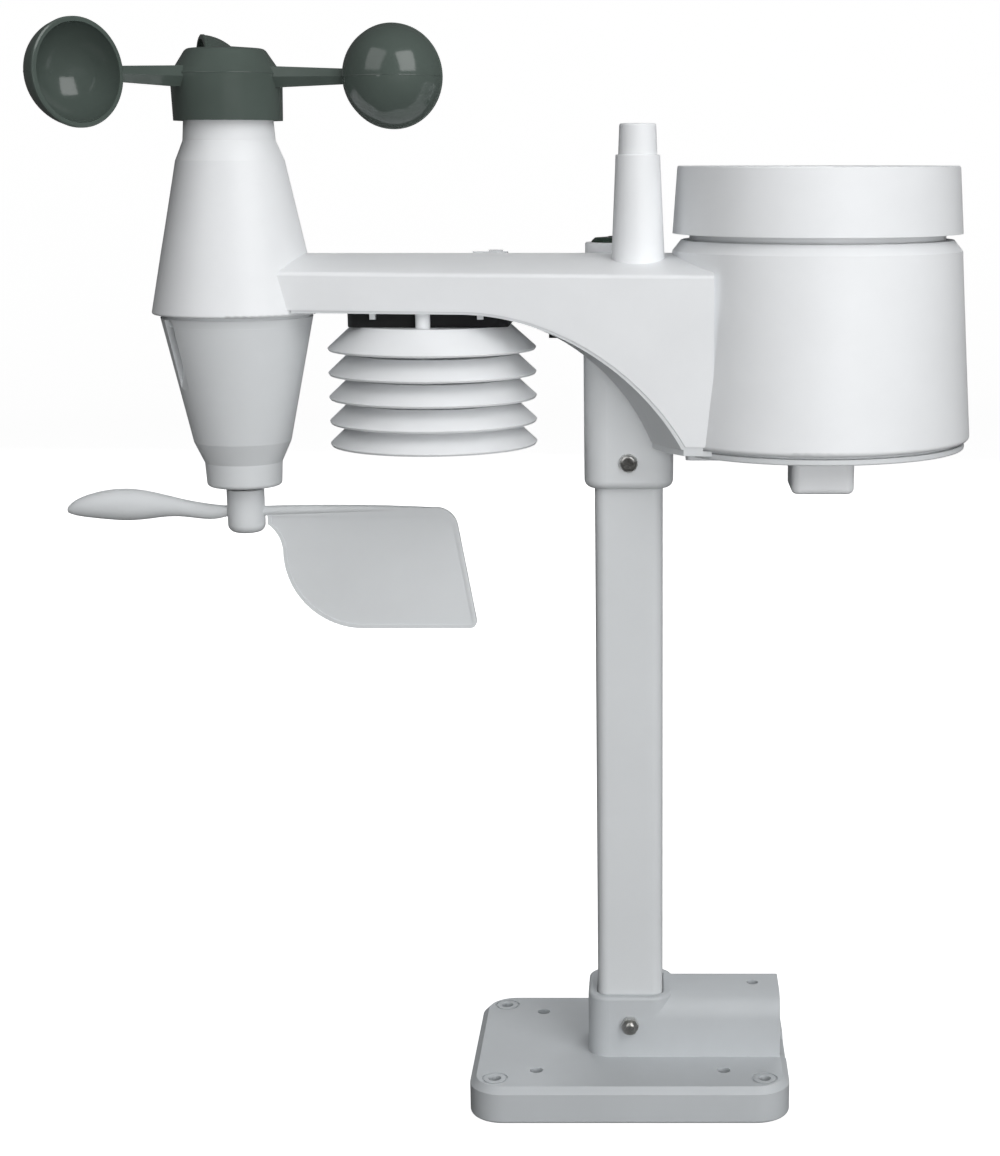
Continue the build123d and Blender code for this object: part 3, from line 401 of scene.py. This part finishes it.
threads = [thread(CLAMP_LOW_Z, -THREAD_START, -THREAD_END), thread(CLAMP_HIGH_Z, THREAD_START, THREAD_END)]
piece("clamp_threads", threads, "station", "steel")


# ---- Battery case: cells, coils and plates ----
CELL_PLACES = ((34.0, 255.0), (45.1, 264.6), (34.0, 274.2))
CELL_FOOT_Y = 24.25                     # from the case's middle to a cell's flat end
CASE_END_Y, PLATE_Y = 27.1, 26.7
jackets, cell_ends, contacts = [], [], []
for index, (x, z) in enumerate(CELL_PLACES):
    way = 1 if index % 2 else -1
    foot = -way * CELL_FOOT_Y
    rows = [(6.3, 0.0), (6.9, 0.0), (7.2, 0.3), (7.25, 0.8),
            (7.25, 48.2), (7.1, 48.8), (6.5, 49.1), (6.1, 49.1)]
    jackets.append(lathe([(r, way * h) for r, h in rows], (x, foot, z), "Y"))
    cap = [(0, 0.25), (5.9, 0.25), (6.35, 0.0), (6.35, 0.6)]
    cell_ends.append(lathe([(r, way * h) for r, h in cap], (x, foot, z), "Y"))
    tip = [(6.3, 48.8), (6.0, 49.2), (3.2, 49.25), (2.6, 49.5), (2.55, 50.3), (2.3, 50.5), (0, 50.5)]
    cell_ends.append(lathe([(r, way * h) for r, h in tip], (x, foot, z), "Y"))
    for side in (-1, 1):
        y0, y1 = sorted((side * CASE_END_Y, side * PLATE_Y))
        contacts.append(bevelled_block(x - 4.6, x + 4.6, y0, y1, z - 4.4, z + 4.4, 0.12))
    coil = helix((x, 0, z), "Y", 3.9, 1.9, -way * (PLATE_Y - 0.25), foot - way * 0.3, 3.25)
    contacts.append(swept(coil, 0.28, 8))
    nub = [(2.4, 0.0), (2.2, -0.2), (1.6, -0.38), (0, -0.42)]
    contacts.append(lathe([(r, way * h) for r, h in nub], (x, way * PLATE_Y, z), "Y"))
piece("cell_jackets", jackets, "station", "cell_jacket", "battery_cells")
piece("cell_ends", cell_ends, "station", "steel", "battery_cells")
piece("contact_plates", contacts, "station", "steel", "battery_contacts")


# ---- Wiring: flat cables of five wires each ----
def rounded(points, radius, steps=6):
    """Path with its inner corners rounded."""
    path = [Vector(points[0])]
    for before, corner, after in zip(points, points[1:], points[2:]):
        corner = Vector(corner)
        first = corner + (Vector(before) - corner).normalized() * radius
        last = corner + (Vector(after) - corner).normalized() * radius
        for i in range(steps + 1):
            t = i / steps
            path.append(first * (1 - t) ** 2 + corner * 2 * t * (1 - t) + last * t ** 2)
    return path + [Vector(points[-1])]


WIRE_PITCH, WIRE_R, CABLE_CORNER = 0.8, 0.41, 2.5


def flat_cable(points, middle_y):
    """Five wires side by side through (x, z) points."""
    wires = []
    for lane in range(-2, 3):
        route = [(x, middle_y + lane * WIRE_PITCH, z + 0.4) for x, z in points]
        wires.append(swept(rounded(route, CABLE_CORNER), WIRE_R, 8))
    return wires


cables = flat_cable([(-127, 309.2), (-118, 302.6), (-45.9, 302.6)], 2)
cables += flat_cable([(-127, 288.0), (-122.5, 300.6), (-47.9, 300.6)], -5)
piece("ribbon_cables", cables, "station", "cable_jacket", "wiring")


# ---- Main board: its components ----
BOARD_Z = 300.6                         # top face of the board
CHIP = (-33.4, -24.6, -3.6, 3.6)        # the large chip's sides: X, X, Y, Y
LEG_PITCH, LEG_R, PIN_R = 0.8, 0.15, 0.3


def chip_legs(x0, x1, y0, y1):
    """Gull-wing legs along the two long sides of a chip."""
    legs = []
    count = int((x1 - x0 - 1) / LEG_PITCH)
    for i in range(count + 1):
        x = x0 + 0.5 + LEG_PITCH * i
        for edge, out in ((y0, -1), (y1, 1)):
            route = [(x, edge, BOARD_Z + 0.8), (x, edge + out * 0.45, BOARD_Z + 0.75),
                     (x, edge + out * 0.6, BOARD_Z + 0.2), (x, edge + out * 1.1, BOARD_Z + 0.16)]
            legs.append(swept(route, LEG_R, 6))
    return legs


def can_capacitor(x, y, r, height):
    """Round metal can with a crimp near its foot."""
    rows = [(0, 0), (r - 0.2, 0), (r, 0.3), (r, 0.9), (r - 0.25, 1.2), (r, 1.5), (r, height - 0.3),
            (r - 0.3, height), (r - 0.6, height - 0.1), (0, height - 0.15)]
    return lathe(rows, (x, y, BOARD_Z), sides=32)


blacks = [bevelled_block(*CHIP, BOARD_Z + 0.15, BOARD_Z + 1.6, 0.18),
          bevelled_block(-28.6, -23.2, -2.6, 2.6, 296.2, 299.0, 0.25),
          can_capacitor(-16, -13, 2.5, 5.5), can_capacitor(-30, 12, 2.0, 5.0)]
bright = chip_legs(*CHIP)
bright += [bevelled_block(-12, -4, -12, -4, BOARD_Z, BOARD_Z + 1.4, 0.25),
           bevelled_block(-20, -15, 6, 10, BOARD_Z, BOARD_Z + 3.0, 0.8)]
for number in range(5):
    for x, y in ((-44.9, -2.4 + 2 * number), (-4 + 2 * number, 10)):
        bright.append(swept([(x, y, BOARD_Z + 0.4), (x, y, BOARD_Z + 4.2)], PIN_R, 6))
plugs = []
# Each plug is a foot with one wall along its long side: (foot, wall).
for foot, wall in (((-45.5, -40, -4, 8), (-45.5, -44.6, -4, 8)), ((-6, 6, 8, 12.2), (-6, 6, 8, 8.9))):
    plugs.append(bevelled_block(*foot, BOARD_Z, BOARD_Z + 1.2, 0.2))
    plugs.append(bevelled_block(*wall, BOARD_Z, BOARD_Z + 4.5, 0.2))
lamp = [(0, 0), (1.5, 0), (1.5, 0.5), (1.25, 0.6), (1.25, 2.6), (1.0, 3.4), (0.5, 3.9), (0, 4.0)]
piece("board_chips", blacks, "station", "component", "board_components")
piece("board_metal", bright, "station", "steel", "board_components")
piece("board_plugs", plugs, "station", "bucket_plastic", "board_components")
lamp_shape = lathe(lamp, (-43.2, 11.5, BOARD_Z), sides=32)
piece("board_lamp", [lamp_shape], "station", "glass_capsule", "board_components")


# ---- Reed switches: the blades inside the glass ----
BLADE_R = 0.22
BLADE_LIFT = Vector((0, 0, 0.16))
SPEED_REED, RAIN_REED = (WIND_X, 6, 313.0), (82.6, 0, 279.5)


def blades(middle, along):
    """Two blades that overlap at the middle with a small gap."""
    made = []
    for way in (-1, 1):
        out, lift = Vector(along) * way, BLADE_LIFT * way
        path = [Vector(middle) + out * 5.6 + lift * 0.3, Vector(middle) + out * 3.5,
                Vector(middle) - out * 0.9 - lift * 0.6]
        made.append(swept(path, BLADE_R, 6))
    return made


reeds = blades(SPEED_REED, (1, 0, 0)) + blades(RAIN_REED, (0, 1, 0))
piece("reed_blades", reeds, "station", "copper")


# ---- Studio ----
SWEEP_FLOOR_R = 2.2
SWEEP_BEND_R, SWEEP_BEND_STEPS = 0.9, 24
SWEEP_HEIGHT = 3.4
SWEEP_SIDES = 96
SWEEP_GLOW = 0.93
WORLD_GLOW = 0.07
LIT_POINT = Vector((-0.05, 0.0, 0.28))


def studio_sweep():
    """Round pale floor that curves up into a wall all about; it throws no light on the object."""
    rings = [(0.5, 0.0), (SWEEP_FLOOR_R, 0.0)]
    for step in range(1, SWEEP_BEND_STEPS + 1):
        a = pi / 2 * step / SWEEP_BEND_STEPS
        rings.append((SWEEP_FLOOR_R + SWEEP_BEND_R * sin(a), SWEEP_BEND_R * (1 - cos(a))))
    rings.append((SWEEP_FLOOR_R + SWEEP_BEND_R, SWEEP_HEIGHT))
    points = [(0.0, 0.0, 0.0)]
    for r, z in rings:
        points += ring((0, 0, z), r, SWEEP_SIDES)
    faces = []
    for k in range(SWEEP_SIDES):
        following = (k + 1) % SWEEP_SIDES
        faces.append((0, 1 + k, 1 + following))
        for row in range(len(rings) - 1):
            low, high = 1 + row * SWEEP_SIDES, 1 + (row + 1) * SWEEP_SIDES
            faces.append((low + k, high + k, high + following, low + following))
    mesh = bpy.data.meshes.new("studio_sweep")
    mesh.from_pydata(points, [], faces)
    mesh.polygons.foreach_set("use_smooth", [True] * len(faces))
    sweep = bpy.data.objects.new("studio_sweep", mesh)
    bpy.context.scene.collection.objects.link(sweep)
    sweep.visible_diffuse = False
    sweep.visible_glossy = False
    sweep.visible_transmission = False
    sweep.visible_shadow = False
    material, tree, shader = new_material("studio_paper")
    tone = ramp(tree, noise(tree, 3, 2), 0.3, 0.7, (linear(168, 168, 168), linear(172, 172, 172)))
    tree.links.new(tone, shader.inputs["Base Color"])
    shader.inputs["Emission Color"].default_value = (1, 1, 1, 1)
    shader.inputs["Emission Strength"].default_value = SWEEP_GLOW
    shader.inputs["Roughness"].default_value = 0.9
    bump(tree, shader, [(noise(tree, 900, 2), 0.05, 0.0001)])
    mesh.materials.append(material)


def soft_light(name, bearing, distance, width, height, power, glossy=True):
    """Softbox that faces the object from along bearing; one that isn't glossy leaves no highlight."""
    data = bpy.data.lights.new(name, "AREA")
    data.shape = "RECTANGLE"
    data.size, data.size_y, data.energy = width, height, power
    light = bpy.data.objects.new(name, data)
    bpy.context.scene.collection.objects.link(light)
    light.location = LIT_POINT + Vector(bearing).normalized() * distance
    light.rotation_euler = (LIT_POINT - light.location).to_track_quat("-Z", "Y").to_euler()
    light.visible_camera = False
    light.visible_glossy = glossy


studio_sweep()
soft_light("left_softbox", (-0.54, -0.60, 0.59), 1.25, 0.80, 0.95, 3.4)
soft_light("right_softbox", (0.52, -0.64, 0.57), 1.25, 0.80, 0.95, 7.6)
soft_light("rear_fill", (0.10, 1.00, 0.32), 1.60, 1.40, 0.60, 22.0, glossy=False)
soft_light("front_fill", (0.34, -1.00, -0.02), 1.30, 0.90, 0.40, 8.2, glossy=False)
soft_light("top_fill", (0.30, -0.10, 1.00), 1.40, 0.80, 0.80, 2.8, glossy=False)
world = bpy.data.worlds.new("studio")
bpy.context.scene.world = world
world.use_nodes = True
background = world.node_tree.nodes["Background"]
background.inputs["Color"].default_value = (1, 1, 1, 1)
background.inputs["Strength"].default_value = WORLD_GLOW
bpy.context.scene.view_settings.view_transform = "Standard"
